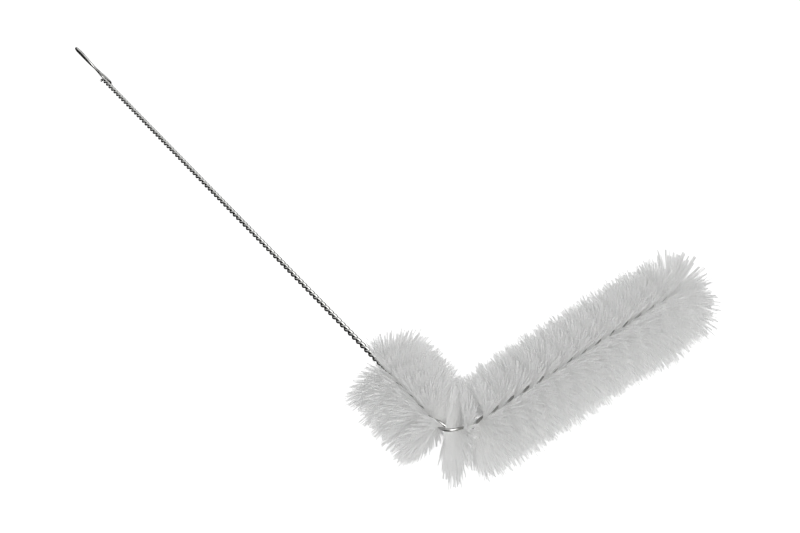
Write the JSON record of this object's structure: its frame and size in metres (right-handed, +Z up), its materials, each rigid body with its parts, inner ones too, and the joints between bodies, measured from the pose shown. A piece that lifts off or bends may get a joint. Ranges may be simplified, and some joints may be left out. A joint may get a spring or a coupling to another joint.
{
  "type": "bottle brush",
  "caption": "Bent cleaning brush for flasks and demijohns: white bristles in a twisted steel wire that turns a right angle inside the head and ends in a hanging eye.",
  "frame": {"origin": "middle of the bounding box in X and Y, on the floor that the brush lies on", "axes": "+X along the stem from the hanging eye to the bend, +Y along the long straight of the head from the bend to the tip, +Z up from the floor"},
  "size_m": [0.5476, 0.2526, 0.0664],
  "materials": {
    "steel_wire": "bright drawn wire",
    "bristles": "natural white nylon filament, translucent"
  },
  "bodies": {
    "root": {"twisted_wire": "steel_wire", "neck_tuft_1": "bristles", "neck_tuft_2": "bristles", "neck_tuft_3": "bristles", "neck_tuft_4": "bristles", "neck_tuft_5": "bristles", "bend_tuft_1": "bristles", "bend_tuft_2": "bristles", "head_tuft_1": "bristles", "head_tuft_2": "bristles", "head_tuft_3": "bristles", "head_tuft_4": "bristles", "head_tuft_5": "bristles", "head_tuft_6": "bristles", "head_tuft_7": "bristles", "head_tuft_8": "bristles", "head_tuft_9": "bristles", "head_tuft_10": "bristles", "head_tuft_11": "bristles", "head_tuft_12": "bristles", "head_tuft_13": "bristles", "tip_tuft": "bristles"}
  },
  "joints": []
}
